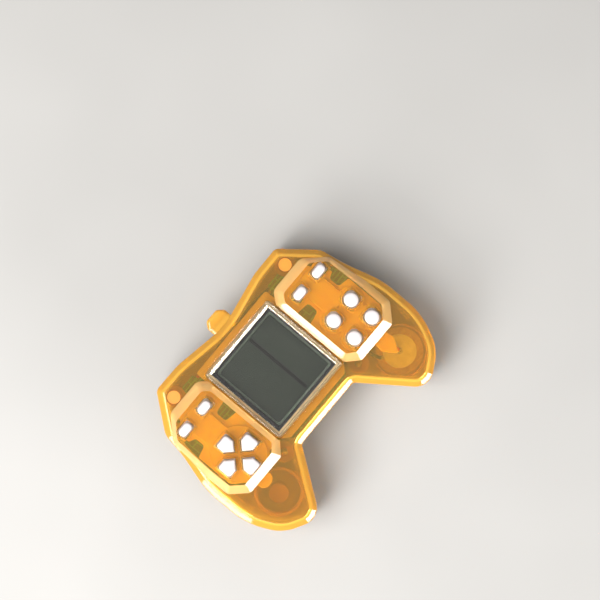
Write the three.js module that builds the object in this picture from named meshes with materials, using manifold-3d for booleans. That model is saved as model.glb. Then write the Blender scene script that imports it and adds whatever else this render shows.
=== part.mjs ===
// A keyring-size handheld LCD game in the shape of a gamepad, lying on its back.
// Millimetres. +X is the player's right, +Y points to the keyring lug and +Z comes out of the screen.
// The origin is the middle of the footprint, on the surface the case lies on.
import * as THREE from 'three';
import { mergeVertices } from 'three/addons/utils/BufferGeometryUtils.js';
import Module from 'manifold-3d';

const wasm = await Module();
wasm.setup();

// Heights of the layers, counted from the back of the case.
const SPLIT_Z = 7.0; // where the two case halves meet
const DECK_Z = 12.8; // flat front face of the case
const PANEL_Z = 14.6; // raised key panels
const KEY_Z = 15.5; // key tops
const BOARD_Z = 8.4; // underside of the circuit board
const BOARD_TOP_Z = 9.2;
const SEAM = 0.2; // groove between the case halves

// Case walls.
const WALL = 1.5;
const DECK = 1.4;
const CEILING_Z = DECK_Z - DECK;
const PANEL_CEILING_Z = PANEL_Z - DECK;

// Screen: the lens sits slightly left of the display's middle.
const SCREEN_Y = 5.0;
const LENS_X = -0.2;
const LENS_HALF = 10.9;
const OPENING_HALF = 11.2;
const LENS_BOTTOM_Z = 12.4;
const LENS_TOP_Z = 14.1;
const RIM_Z = 14.7;
const DISPLAY_HALF = 9.25; // visible square of the display
const GLASS_HALF = 9.9;

// Keys.
const PAD_X = 20.0; // middle of each key cluster
const PAD_Y = -1.3;
const PILL_Y = 11.5;
const PILL_PITCH = 6.5;
const ROUND_PITCH = 6.1;
const ROUND_RADIUS = 1.65;
const KEY_GAP = 0.25; // clearance round a key in its panel
const FLANGE = 0.5; // how far a key's flange stands out under the panel
const MAT_TOP_Z = 11.2;

// Fasteners.
const CASE_SCREWS = {
  case_screw_top_left: [-19.5, 18.2],
  case_screw_top_right: [19.5, 18.2],
  case_screw_bottom_left: [-13.1, -8.9],
  case_screw_bottom_right: [13.1, -8.9],
};
const LOCATING_POST = [-20.9, -13.9];

// Power and sound.
const CELL_X = 6.1;
const CELL_Y = 2.6;
const CELL_RADIUS = 5.8;
const CELL_HEIGHT = 5.4;
const CELL_BOTTOM_Z = 1.7;
const POCKET_TOP_Z = 7.5;
const DOOR_THICKNESS = 1.2;
const DOOR_SCREW = [0, 11.2];
const BUZZER = [21.3, -14.5];
const BUZZER_RADIUS = 5.5;
const LUG_HOLE = { y: 21.95, z: 9.3, radius: 0.9 };

const ARC_STEPS = 3; // straight steps in each rounded corner

// ---- Outlines. A corner is [x, y, radius], and corners run counter-clockwise.

// The right half of the case, from the middle of the bottom edge up to the lug.
const CASE_HALF = [
  [9.0, -10.75, 1.2],
  [19.3, -24.89, 4.1],
  [27.3, -20.4, 9],
  [31.0, -12.6, 16],
  [31.05, -1.0, 18],
  [28.4, 8.2, 30],
  [27.4, 14.2, 4],
  [20.9, 22.35, 1.8],
  [13.5, 22.25, 12],
  [2.0, 20.2, 10],
];

// Foot and top of the right raised key panel: corner by corner they make its sloping sides.
const PANEL_FOOT = [
  [14.2, -8.9, 1.2],
  [24.9, -8.9, 1.2],
  [28.4, -5.2, 1.5],
  [28.5, 1.5, 6],
  [27.3, 11.7, 2],
  [22.8, 16.5, 2],
  [13.4, 16.5, 2],
  [11.2, 13.9, 2],
  [11.2, -6.0, 1.5],
];
const PANEL_TOP = [
  [14.9, -6.75, 0.8],
  [24.2, -6.75, 0.8],
  [26.6, -4.2, 0.8],
  [26.7, 1.5, 6],
  [26.3, 11.3, 1.4],
  [23.3, 14.3, 1.4],
  [14.3, 14.3, 1.4],
  [13.0, 12.7, 1.4],
  [13.0, -5.2, 0.8],
];

// The right half of the circuit board, notched for the case posts.
const BOARD_HALF = [
  [9.2, -8.6, 0.4],
  [10.6, -6.6, 0.4],
  [14.6, -6.6, 0.4],
  [15.6, -7.8, 0.4],
  [23.5, -7.8, 1],
  [27.0, -4.5, 1],
  [27.0, 2.0, 4],
  [26.2, 9.5, 2],
  [22.4, 15.4, 1],
  [17.4, 15.4, 0.4],
  [16.9, 18.2, 0.4],
  [13.2, 18.2, 0.4],
  [12.8, 16.6, 0.4],
];

const mirrored = (corners) => corners.map(([x, y, radius]) => [-x, y, radius]).reverse();
const bothSides = (half) => [...half, ...mirrored(half)];

const rectangle = (x, y, width, height, radius) => [
  [x - width / 2, y - height / 2, radius],
  [x + width / 2, y - height / 2, radius],
  [x + width / 2, y + height / 2, radius],
  [x - width / 2, y + height / 2, radius],
];

function heading([fromX, fromY], [toX, toY]) {
  return new THREE.Vector2(toX - fromX, toY - fromY).normalize();
}

// Moves every side of an outline inwards by depth; a negative depth moves it outwards.
function inset(corners, depth) {
  return corners.map((corner, i) => {
    const before = heading(corners.at(i - 1), corner);
    const after = heading(corner, corners[(i + 1) % corners.length]);
    const reach = depth / (1 + before.dot(after));
    const [x, y, radius] = corner;
    const shrink = Math.sign(before.cross(after)) * depth;
    return [
      x - (before.y + after.y) * reach,
      y + (before.x + after.x) * reach,
      Math.max(radius - shrink, 0.15),
    ];
  });
}

// The points of an outline with an arc at every corner.
function rounded(corners) {
  return corners.flatMap((corner, i) => {
    const [x, y, radius] = corner;
    const toBefore = heading(corner, corners.at(i - 1));
    const toAfter = heading(corner, corners[(i + 1) % corners.length]);
    const half = Math.acos(toBefore.dot(toAfter)) / 2;
    const turn = -Math.sign(toBefore.cross(toAfter)) * (Math.PI - 2 * half);
    const middle = toBefore.clone().add(toAfter).setLength(radius / Math.sin(half));
    middle.add(new THREE.Vector2(x, y));
    const start = toBefore.multiplyScalar(radius / Math.tan(half)).add(new THREE.Vector2(x, y));
    return Array.from({ length: ARC_STEPS + 1 }, (_, step) =>
      start.clone().rotateAround(middle, (turn * step) / ARC_STEPS));
  });
}

// An outline is kept as a function that gives its points at a depth inside the shape.
const outline = (corners) => (depth) => rounded(inset(corners, depth));
const circle = ([x, y], radius, sides = 16) => (depth) =>
  Array.from({ length: sides }, (_, i) => {
    const angle = (2 * Math.PI * i) / sides;
    const reach = radius - depth;
    return new THREE.Vector2(x + reach * Math.cos(angle), y + reach * Math.sin(angle));
  });

// ---- Solids.

// A closed solid through rings of equally many points, each at its own height.
function loft(rings) {
  const count = rings[0].points.length;
  const top = (rings.length - 1) * count;
  const positions = rings.flatMap(({ z, points }) => points.flatMap((p) => [p.x, p.y, z]));
  const faces = [];
  for (let base = 0; base < top; base += count) {
    for (let i = 0; i < count; i++) {
      const a = base + i;
      const b = base + ((i + 1) % count);
      faces.push(a, b, b + count, a, b + count, a + count);
    }
  }
  for (const [a, b, c] of THREE.ShapeUtils.triangulateShape(rings[0].points, [])) {
    faces.push(c, b, a);
  }
  for (const [a, b, c] of THREE.ShapeUtils.triangulateShape(rings.at(-1).points, [])) {
    faces.push(top + a, top + b, top + c);
  }
  const geometry = new THREE.BufferGeometry();
  geometry.setAttribute('position', new THREE.Float32BufferAttribute(positions, 3));
  geometry.setIndex(faces);
  return solid(geometry);
}

// The outline at each level [height, depth], joined into one solid.
const stack = (shape, levels) => loft(levels.map(([z, depth]) => ({ z, points: shape(depth) })));
const plate = (shape, bottom, top) => stack(shape, [[bottom, 0], [top, 0]]);

function solid(geometry) {
  const bare = geometry.clone();
  bare.deleteAttribute('normal');
  bare.deleteAttribute('uv');
  const merged = mergeVertices(bare, 1e-5);
  return new wasm.Manifold(new wasm.Mesh({
    numProp: 3,
    vertProperties: merged.attributes.position.array,
    triVerts: new Uint32Array(merged.index.array),
  }));
}

function block([x0, x1], [y0, y1], [z0, z1]) {
  const box = new THREE.BoxGeometry(x1 - x0, y1 - y0, z1 - z0);
  return solid(box.translate((x0 + x1) / 2, (y0 + y1) / 2, (z0 + z1) / 2));
}

// A body turned about an upright axis, from a profile of [radius, height] that starts and ends on it.
function turned([x, y], profile, sides = 16) {
  const points = profile.map(([radius, z]) => new THREE.Vector2(radius, z));
  const lathe = new THREE.LatheGeometry(points, sides);
  return solid(lathe.rotateX(Math.PI / 2).translate(x, y, 0));
}

// A body turned about an axis along X, through the given centre.
function turnedAlongX([x, y, z], profile, sides = 12) {
  const points = profile.map(([radius, along]) => new THREE.Vector2(radius, along));
  const lathe = new THREE.LatheGeometry(points, sides);
  return solid(lathe.rotateZ(-Math.PI / 2).translate(x, y, z));
}

const rod = (at, radius, bottom, top, sides = 16) => plate(circle(at, radius, sides), bottom, top);
const join = (...bodies) => bodies.reduce((all, body) => all.add(body));
const cut = (body, ...tools) => tools.reduce((left, tool) => left.subtract(tool), body);

// ---- Case.

const caseOutline = outline(bothSides(CASE_HALF));
const openingOutline = outline(rectangle(LENS_X, SCREEN_Y, 2 * OPENING_HALF, 2 * OPENING_HALF, 0.9));
const doorOutline = outline(rectangle(0, 4.4, 26.6, 17.8, 1.6));
const pocketOutline = outline(rectangle(0, CELL_Y, 24.6, 12.2, 3));

function keyPanel(side) {
  const foot = side > 0 ? PANEL_FOOT : mirrored(PANEL_FOOT);
  const top = side > 0 ? PANEL_TOP : mirrored(PANEL_TOP);
  return loft([
    { z: CEILING_Z + 0.4, points: rounded(foot) },
    { z: DECK_Z, points: rounded(foot) },
    { z: PANEL_Z - 0.3, points: rounded(inset(top, -0.3)) },
    { z: PANEL_Z, points: rounded(top) },
  ]);
}

function keyPanelHollow(side) {
  const foot = side > 0 ? PANEL_FOOT : mirrored(PANEL_FOOT);
  const top = side > 0 ? PANEL_TOP : mirrored(PANEL_TOP);
  return loft([
    { z: CEILING_Z - 0.4, points: rounded(inset(foot, 1.0)) },
    { z: CEILING_Z + 0.2, points: rounded(inset(foot, 1.0)) },
    { z: PANEL_CEILING_Z, points: rounded(inset(top, -0.45)) },
  ]);
}

function lug() {
  const half = [[2.95, 19.3, 0.3], [2.95, 22.2, 1.0], [1.7, 23.64, 1.0]];
  return stack(outline(bothSides(half)), [
    [SPLIT_Z + SEAM / 2, 0], [CEILING_Z - 0.2, 0], [CEILING_Z + 0.2, 0.4],
  ]);
}

function lugHole() {
  const drill = new THREE.CylinderGeometry(LUG_HOLE.radius, LUG_HOLE.radius, 8, 16);
  return solid(drill.rotateZ(Math.PI / 2).translate(0, LUG_HOLE.y, LUG_HOLE.z));
}

function frontShell() {
  const bottom = SPLIT_Z + SEAM / 2;
  const skin = stack(caseOutline, [
    [bottom, 0], [DECK_Z - 1.2, 0.1], [DECK_Z - 0.35, 0.45], [DECK_Z, 1.25],
  ]);
  const hollow = stack(caseOutline, [
    [SPLIT_Z - 1, WALL], [CEILING_Z - 0.5, WALL], [CEILING_Z, WALL + 0.6],
  ]);
  const hollowed = cut(
    join(skin, keyPanel(1), keyPanel(-1), lug()),
    hollow, keyPanelHollow(1), keyPanelHollow(-1), lugHole(),
    plate(openingOutline, SPLIT_Z, PANEL_Z + 1),
    ...KEYS.map(({ shape }) => stack(shape, [[CEILING_Z, -KEY_GAP], [KEY_Z, -KEY_GAP]])),
  );
  const posts = Object.values(CASE_SCREWS).map((at) =>
    cut(rod(at, 1.9, bottom, CEILING_Z + 0.3), rod(at, 0.7, SPLIT_Z, 10.6, 10)));
  return join(hollowed, ...posts, rod(LOCATING_POST, 2.2, bottom, CEILING_Z + 0.3));
}

// Clears a screw's way in from the back: a wide bore for its head, a narrow one for its thread.
function screwWay(at) {
  return join(rod(at, 1.8, -1, 3.4), rod(at, 0.9, 3.0, SPLIT_Z + 1, 10));
}

function ring(at, outer, inner, bottom, top) {
  return cut(rod(at, outer, bottom, top, 24), rod(at, inner, bottom - 1, top + 1, 24));
}

function rearShell() {
  const rim = SPLIT_Z - SEAM / 2;
  const skin = stack(caseOutline, [[0, 2.4], [0.5, 1.2], [1.5, 0.35], [3.0, 0], [rim, 0]]);
  const hollow = stack(caseOutline, [[WALL, 3.0], [3.0, WALL], [SPLIT_Z + 1, WALL]]);
  const seat = plate((depth) => doorOutline(depth - 0.9), 1.0, 2.3);
  const pocketWall = plate((depth) => pocketOutline(depth - 0.9), 1.0, POCKET_TOP_Z + 0.7);
  const bosses = Object.values(CASE_SCREWS).map((at) => rod(at, 2.5, 1.0, rim));
  const body = join(
    cut(skin, hollow), seat, pocketWall, ...bosses,
    rod(DOOR_SCREW, 2.0, 1.5, rim),
    rod(LOCATING_POST, 2.2, 1.0, rim),
    ring(LOCATING_POST, 5.7, 4.9, 1.0, 6.4),
    ring(BUZZER, 5.4, 4.6, 1.0, 2.4),
    cut(ring(BUZZER, 6.4, 5.8, 1.0, 4.6), block([15.0, 18.0], [-12.2, -9.0], [2.4, 5])),
  );
  const tabSlots = [-CELL_X, CELL_X].map((x) => block([x - 1.1, x + 1.1], [8.4, 10.0], [7.0, 7.5]));
  return cut(
    body,
    plate((depth) => doorOutline(depth - 0.2), -1, DOOR_THICKNESS + 0.1),
    plate(pocketOutline, 0.5, POCKET_TOP_Z),
    block([-2.8, 2.8], [-5.2, -3.2], [2.35, 3.2]),
    rod(DOOR_SCREW, 0.7, 0.5, 5.6, 10),
    ...tabSlots,
    ...Object.values(CASE_SCREWS).map(screwWay),
  );
}

function batteryDoor() {
  const panel = stack(doorOutline, [[0, 0.3], [0.3, 0], [DOOR_THICKNESS, 0]]);
  const hook = join(
    block([-2.5, 2.5], [-3.2, -2.5], [DOOR_THICKNESS - 0.2, 3.0]),
    block([-2.5, 2.5], [-4.9, -2.6], [2.45, 3.0]),
  );
  return cut(join(panel, hook), rod(DOOR_SCREW, 1.75, -1, 0.75), rod(DOOR_SCREW, 0.85, 0, 3, 10));
}

function screw([x, y], head, tip) {
  return turned([x, y], [
    [0, head], [1.2, head], [1.6, head + 0.3], [1.6, head + 0.6],
    [0.62, head + 0.6], [0.62, tip - 0.6], [0, tip],
  ], 10);
}

// ---- Screen.

function screenWindow() {
  const body = outline(rectangle(LENS_X, SCREEN_Y, 2 * LENS_HALF, 2 * LENS_HALF, 0.7));
  return cut(
    stack(body, [[LENS_BOTTOM_Z, 0], [RIM_Z - 0.2, 0], [RIM_Z, 0.15]]),
    stack(body, [[LENS_TOP_Z, 1.0], [RIM_Z, 0.3], [RIM_Z + 0.1, 0.2]]),
  );
}

function screenGasket() {
  const outside = outline(rectangle(LENS_X, SCREEN_Y, 20.5, 20.5, 0.4));
  const inside = outline(rectangle(0, SCREEN_Y, 2 * DISPLAY_HALF, 2 * DISPLAY_HALF, 0.5));
  return cut(plate(outside, 11.0, 12.3), plate(inside, 10, 13));
}

function screenHolder() {
  const flange = outline(bothSides([
    [9.4, SCREEN_Y - 12.9, 0.4],
    [12.2, SCREEN_Y - 10.2, 0.4],
    [12.2, SCREEN_Y + 12.8, 0.6],
  ]));
  const collar = outline(rectangle(LENS_X, SCREEN_Y, 21.9, 21.9, 0.5));
  const collarHole = outline(rectangle(LENS_X, SCREEN_Y, 20.7, 20.7, 0.4));
  const glassHole = outline(rectangle(0, SCREEN_Y - 0.6, 20.1, 21.4, 0.3));
  return cut(
    join(plate(flange, 9.3, 11.3), plate(collar, 11.0, 12.3)),
    plate(collarHole, 11.0, 13),
    plate(glassHole, 9, 11.0),
  );
}

function screenLayer(half, bottom, top, radius = 0.1) {
  return plate(outline(rectangle(0, SCREEN_Y, 2 * half, 2 * half, radius)), bottom, top);
}

// The front glass is longer at its lower edge, where its contacts face the zebra strip.
function frontGlass() {
  return plate(outline(rectangle(0, SCREEN_Y - 0.6, 2 * GLASS_HALF, 21.1, 0.1)), 10.15, 10.7);
}

// ---- Keys.

// A direction key: square outside, pointed towards the middle of its cluster.
function petal(angle) {
  const corners = [[0, 1.3, 0.15], [1.7, 3.0, 0.3], [1.7, 5.15, 0.7], [-1.7, 5.15, 0.7], [-1.7, 3.0, 0.3]];
  return outline(corners.map(([x, y, radius]) => {
    const at = new THREE.Vector2(x, y).rotateAround(new THREE.Vector2(), angle);
    return [at.x - PAD_X, at.y + PAD_Y, radius];
  }));
}

const pill = (x) => outline(rectangle(x, PILL_Y, 3.4, 2.0, 0.95));
const roundKey = (column, row) =>
  circle([PAD_X + (column * ROUND_PITCH) / 2, PAD_Y + (row * ROUND_PITCH) / 2], ROUND_RADIUS);

const KEYS = [
  { name: 'up_key', shape: petal(0) },
  { name: 'left_key', shape: petal(Math.PI / 2) },
  { name: 'down_key', shape: petal(Math.PI) },
  { name: 'right_key', shape: petal(-Math.PI / 2) },
  { name: 'round_key_upper_left', shape: roundKey(-1, 1) },
  { name: 'round_key_upper_right', shape: roundKey(1, 1) },
  { name: 'round_key_lower_left', shape: roundKey(-1, -1) },
  { name: 'round_key_lower_right', shape: roundKey(1, -1) },
  { name: 'left_pill_key_outer', shape: pill(-PAD_X - PILL_PITCH / 2) },
  { name: 'left_pill_key_inner', shape: pill(-PAD_X + PILL_PITCH / 2) },
  { name: 'right_pill_key_inner', shape: pill(PAD_X - PILL_PITCH / 2) },
  { name: 'right_pill_key_outer', shape: pill(PAD_X + PILL_PITCH / 2) },
];

// Stem, flange under the panel, and the white top that stands out of it.
function key(shape) {
  const flangeTop = PANEL_CEILING_Z - 0.1;
  const flangeBottom = flangeTop - 0.8;
  return stack(shape, [
    [BOARD_TOP_Z + 0.95, 0.4], [flangeBottom, 0.4],
    [flangeBottom, -FLANGE], [flangeTop, -FLANGE],
    [flangeTop, 0], [KEY_Z - 0.3, 0], [KEY_Z, 0.3],
  ]);
}

// Thin sheet that joins the raised parts of a mat, notched at its waist on both sides.
const WEB = [
  [12.9, -6.2, 0.8], [15.0, -6.2, 0.4], [16.0, -7.3, 0.4], [23.4, -7.3, 1.2], [26.5, -4.2, 1.2],
  [26.5, 5.2, 0.5], [23.6, 5.8, 0.8], [23.6, 8.4, 0.8], [25.4, 9.2, 0.5], [22.2, 14.9, 1.0],
  [12.9, 14.9, 0.8], [12.9, 9.0, 0.4], [16.2, 8.6, 0.8], [16.2, 5.8, 0.8], [12.9, 5.2, 0.4],
];

// Rubber mat: a bar under the pill keys, a neck, the pad under the main keys, their sheet and a locating tab.
function keyMat(side, pad, tab) {
  const x = side * PAD_X;
  const bottom = BOARD_TOP_Z + 0.1;
  const bar = plate(outline(rectangle(x, PILL_Y, 11.6, 4.0, 1.8)), bottom, MAT_TOP_Z);
  const neck = plate(outline(rectangle(x, 7.0, 6.0, 8.0, 0.3)), bottom, MAT_TOP_Z);
  const holes = KEYS.map(({ shape }) => stack(shape, [[bottom - 1, 0.15], [MAT_TOP_Z + 1, 0.15]]));
  const web = plate(outline(side > 0 ? WEB : mirrored(WEB)), bottom, bottom + 0.5);
  return cut(join(bar, neck, web, ...pad(bottom), tab(bottom)), ...holes);
}

function leftKeyMat() {
  const pad = (bottom) => [rod([-PAD_X, PAD_Y], 6.6, bottom, MAT_TOP_Z, 24)];
  const tab = (bottom) => plate(outline(rectangle(-20.7, -8.7, 3.9, 5.0, 1.7)), bottom, bottom + 1.2);
  return keyMat(-1, pad, tab);
}

function rightKeyMat() {
  const pad = (bottom) => [
    ...[[-1, 1], [1, 1], [1, -1], [-1, -1]].map(([column, row]) =>
      rod([PAD_X + column * 3.05, PAD_Y + row * 3.05], 3.15, bottom, MAT_TOP_Z, 16)),
    plate(outline(rectangle(PAD_X, PAD_Y, 8, 8, 0.5)), bottom, MAT_TOP_Z),
  ];
  const drop = outline([
    [20.7, -14.4, 0.6], [22.9, -11.2, 1.6], [22.3, -7.0, 0.4], [19.1, -7.0, 0.4], [18.5, -11.2, 1.6],
  ]);
  return keyMat(1, pad, (bottom) => plate(drop, bottom, bottom + 1.2));
}

// ---- Power, sound and board parts.

// A button cell: can, crimped edge and smaller cap; the cap is up or down.
function buttonCell(x, capUp) {
  const bottom = CELL_BOTTOM_Z;
  const profile = [[0, 0], [5.6, 0], [CELL_RADIUS, 0.2], [CELL_RADIUS, 4.8], [5.2, 5.05], [4.5, 5.05],
    [4.5, 5.25], [4.3, CELL_HEIGHT], [0, CELL_HEIGHT]];
  const placed = capUp
    ? profile.map(([radius, z]) => [radius, bottom + z])
    : profile.map(([radius, z]) => [radius, bottom + CELL_HEIGHT - z]).reverse();
  return turned([x, CELL_Y], placed, 24);
}

function batteryContact(x) {
  return join(
    block([x - 3, x + 3], [CELL_Y - 2.5, CELL_Y + 2.5], [7.15, 7.4]),
    block([x - 0.8, x + 0.8], [CELL_Y, 10.8], [7.15, 7.4]),
  );
}

function wire(points) {
  const route = new THREE.CatmullRomCurve3(points.map(([x, y, z]) => new THREE.Vector3(x, y, z)));
  const section = new THREE.Shape().absarc(0, 0, 0.4, 0, 2 * Math.PI);
  const tube = new THREE.ExtrudeGeometry(section, {
    steps: 3 * points.length, curveSegments: 4, extrudePath: route,
  });
  return solid(tube);
}

const WIRES = {
  battery_wire_red: [[6.1, 11.3, 7.3], [6.6, 14.0, 7.6], [4.5, 16.8, 7.9], [0, 17.3, 7.95],
    [-7, 17.3, 7.95], [-12, 17.2, 7.95], [-14.8, 16.7, 7.95]],
  battery_wire_black: [[-6.1, 11.3, 7.3], [-7.4, 14.3, 6.9], [-7.0, 17.0, 6.8], [-4.2, 18.1, 7.2],
    [3, 18.15, 7.7], [10, 18.15, 7.9], [14.6, 17.3, 7.95]],
  buzzer_wire_red: [[18.9, -6.4, 7.9], [19.4, -8.6, 6.4], [20.6, -10.6, 4.4], [21.4, -12.6, 3.5],
    [21.3, -14.3, 3.4]],
  buzzer_wire_black: [[17.1, -6.4, 7.9], [16.6, -8.4, 6.2], [16.6, -10.0, 4.2], [16.9, -11.1, 3.4],
    [17.3, -12.2, 3.15]],
};

// ---- Materials: colour, roughness, metalness, and opacity where the plastic is clear.

const material = (color, roughness, metalness = 0, opacity = 1) =>
  new THREE.MeshStandardMaterial({
    color, roughness, metalness, opacity, transparent: opacity < 1,
  });

const clearOrange = () => material('#f7a12c', 0.2, 0, 0.6);
const clearAcrylic = () => material('#f4f4f2', 0.08, 0, 0.35);
const blackPlastic = () => material('#17151a', 0.5);
const paleNylon = () => material('#e9e3d2', 0.5);
const lcdGlass = () => material('#59625a', 0.15, 0, 0.8);
const polariserFilm = () => material('#4e564e', 0.35);
const silverFoil = () => material('#c9ccc6', 0.3, 0.8);
const zebraRubber = () => material('#d9d4cc', 0.7);
const boardGreen = () => material('#1f5a35', 0.5);
const blackEpoxy = () => material('#101010', 0.4);
const capSleeve = () => material('#1c2a52', 0.45);
const resistorClay = () => material('#cfae7c', 0.6);
const brass = () => material('#c79a3b', 0.3, 1);
const whiteCeramic = () => material('#e4e0d6', 0.4);
const steel = () => material('#b9bcc0', 0.3, 1);
const nickel = () => material('#cfd0cc', 0.25, 1);
const siliconeOrange = () => material('#f5960f', 0.6);
const whiteKeys = () => material('#f7eef0', 0.4);
const redSleeve = () => material('#b5231c', 0.5);
const blackSleeve = () => material('#1b1b1d', 0.5);

// ---- The assembly.

const game = new THREE.Group();

function add(name, body, finish) {
  const { vertProperties, triVerts } = body.getMesh();
  const geometry = new THREE.BufferGeometry();
  geometry.setAttribute('position', new THREE.BufferAttribute(vertProperties, 3));
  geometry.setIndex(new THREE.BufferAttribute(triVerts, 1));
  geometry.computeVertexNormals();
  const mesh = new THREE.Mesh(geometry, finish);
  mesh.name = name;
  game.add(mesh);
}

add('front_shell', frontShell(), clearOrange());
add('rear_shell', rearShell(), clearOrange());
add('battery_door', batteryDoor(), clearOrange());
add('screen_window', screenWindow(), clearAcrylic());
add('screen_gasket', screenGasket(), blackPlastic());
add('screen_holder', screenHolder(), paleNylon());
add('lcd_polariser', screenLayer(8.75, 10.75, 10.9, 0.6), polariserFilm());
add('lcd_front_glass', frontGlass(), lcdGlass());
add('lcd_rear_glass', screenLayer(GLASS_HALF, 9.55, 10.1), lcdGlass());
add('lcd_reflector', screenLayer(9.6, 9.3, 9.5), silverFoil());
add('zebra_strip', block([-9.4, 9.4], [-6.15, -5.05], [9.25, 10.1]), zebraRubber());
add('main_board', plate(outline(bothSides(BOARD_HALF)), BOARD_Z, BOARD_TOP_Z), boardGreen());
add('chip_blob', turned([18.5, 5.0], [[0, 7.1], [2.6, 7.3], [3.7, 7.8], [4.0, 8.35], [0, 8.35]]),
  blackEpoxy());
add('board_capacitor', turnedAlongX([-20, 6.5, 6.2],
  [[0, -3], [1.8, -3], [2, -2.7], [2, 2.7], [1.8, 3], [0, 3]]), capSleeve());
add('board_resistor', turnedAlongX([-19.5, -1.5, 7.2],
  [[0, -1.8], [0.9, -1.7], [1.0, -1.1], [0.8, -0.8], [0.8, 0.8], [1.0, 1.1], [0.9, 1.7], [0, 1.8]]),
  resistorClay());
add('buzzer_disc', rod(BUZZER, BUZZER_RADIUS, 2.45, 2.65, 24), brass());
add('buzzer_ceramic', rod(BUZZER, 3.9, 2.7, 2.9, 20), whiteCeramic());
add('battery_cell_left', buttonCell(-CELL_X, true), nickel());
add('battery_cell_right', buttonCell(CELL_X, false), nickel());
add('battery_contact_negative', batteryContact(-CELL_X), steel());
add('battery_contact_positive', batteryContact(CELL_X), steel());
add('battery_bridge', block([-8.6, 8.6], [CELL_Y - 2, CELL_Y + 2], [1.35, 1.6]), steel());
add('left_key_mat', leftKeyMat(), siliconeOrange());
add('right_key_mat', rightKeyMat(), siliconeOrange());
for (const { name, shape } of KEYS) {
  add(name, key(shape), whiteKeys());
}
for (const [name, at] of Object.entries(CASE_SCREWS)) {
  add(name, screw(at, 2.75, 10.0), steel());
}
add('battery_door_screw', screw(DOOR_SCREW, 0.1, 5.0), steel());
for (const [name, points] of Object.entries(WIRES)) {
  add(name, wire(points), name.endsWith('red') ? redSleeve() : blackSleeve());
}

export default game;
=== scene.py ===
"""A keyring-size handheld LCD game: a clear orange gamepad case with a square screen, lying on its back.

Shapes are worked in millimetres and finished in metres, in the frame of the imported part:
+X is the player's right, +Y points to the keyring lug and +Z comes out of the screen.
"""

import math

import bmesh
import bpy
from mathutils import Matrix, Vector


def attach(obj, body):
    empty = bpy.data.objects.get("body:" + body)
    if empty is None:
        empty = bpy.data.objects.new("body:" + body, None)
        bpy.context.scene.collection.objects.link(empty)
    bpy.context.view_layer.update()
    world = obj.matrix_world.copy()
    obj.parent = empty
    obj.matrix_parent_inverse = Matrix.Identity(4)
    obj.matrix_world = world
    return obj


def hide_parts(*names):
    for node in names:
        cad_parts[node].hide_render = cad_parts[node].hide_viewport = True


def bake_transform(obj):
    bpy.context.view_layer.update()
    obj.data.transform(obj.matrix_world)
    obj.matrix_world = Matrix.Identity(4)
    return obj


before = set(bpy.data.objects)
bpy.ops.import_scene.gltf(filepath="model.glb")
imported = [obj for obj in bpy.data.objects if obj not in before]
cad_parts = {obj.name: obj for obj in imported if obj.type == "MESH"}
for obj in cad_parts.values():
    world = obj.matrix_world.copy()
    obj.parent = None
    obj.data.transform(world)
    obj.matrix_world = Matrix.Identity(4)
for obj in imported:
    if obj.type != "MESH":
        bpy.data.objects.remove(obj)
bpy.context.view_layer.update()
scene = bpy.context.scene

MM = 0.001
ARC = 7  # straight steps in each rounded corner
SLIVER = 0.0001  # edges shorter than this are closed up
SHARP_DEG = 32  # edges that turn by more than this stay sharp

# Heights above the back of the case.
REAR_RIM_Z = 6.9
FRONT_RIM_Z = 7.1
DECK_Z = 12.8
CEILING_Z = 11.4
PANEL_Z = 14.6
PANEL_CEILING_Z = 13.2
BOARD_Z = 8.4
LEAD_END_Z = 8.45
BOARD_TOP_Z = 9.2
MAT_Z = 9.3
MAT_TOP_Z = 11.2
KEY_Z = 15.5
FLANGE_Z = 12.3
CELL_Z = 1.7

# Plan positions.
LENS = (-0.2, 5.0)
SCREEN = (0.0, 5.0)
PAD_X = 20.0
PAD_Y = -1.3
PILL_Y = 11.5
CELL_X = 6.1
CELL_Y = 2.6
DISPLAY = (0.0, 4.4)
CAPACITOR_AT = (-20, 6.5, 6.2)
RESISTOR_AT = (-19.5, -1.5, 7.2)
CASE_SCREWS = {
    "case_screw_top_left": (-19.5, 18.2),
    "case_screw_top_right": (19.5, 18.2),
    "case_screw_bottom_left": (-13.1, -8.9),
    "case_screw_bottom_right": (13.1, -8.9),
}
DOOR_SCREW = (0.0, 11.2)
LOCATING_POST = (-20.9, -13.9)
BUZZER = (21.3, -14.5)

# Sizes.
LENS_SIDE = 21.8
ROUND_KEY_RADIUS = 1.65
ROUND_KEY_STEP = 3.05  # from the middle of the cluster, along x and along y
PILL_KEY_STEP = 3.25
WEB_THICKNESS = 0.5
POST_RADIUS = 1.9
BOSS_RADIUS = 2.5
LOCATING_RADIUS = 2.2
PILOT_RADIUS = 0.7
HEAD_WAY_RADIUS = 1.95
SPARKED_RADIUS = 1.5
SPARKED_DEPTH = 0.08
CELL_HEIGHT = 5.4
WIRE_RADIUS = 0.4

# Outlines: each corner is x, y and its radius, and corners run counter-clockwise.
CASE_HALF = [
    (9.0, -10.75, 1.2), (19.3, -24.89, 4.1), (27.3, -20.4, 9), (31.0, -12.6, 16), (31.05, -1.0, 18),
    (28.4, 8.2, 30), (27.4, 14.2, 4), (20.9, 22.35, 1.8), (13.5, 22.25, 12), (2.0, 20.2, 10),
]
PANEL_FOOT = [
    (14.2, -8.9, 1.2), (24.9, -8.9, 1.2), (28.4, -5.2, 1.5), (28.5, 1.5, 6), (27.3, 11.7, 2),
    (22.8, 16.5, 2), (13.4, 16.5, 2), (11.2, 13.9, 2), (11.2, -6.0, 1.5),
]
PANEL_TOP = [
    (14.9, -6.75, 0.8), (24.2, -6.75, 0.8), (26.6, -4.2, 0.8), (26.7, 1.5, 6), (26.3, 11.3, 1.4),
    (23.3, 14.3, 1.4), (14.3, 14.3, 1.4), (13.0, 12.7, 1.4), (13.0, -5.2, 0.8),
]
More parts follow.
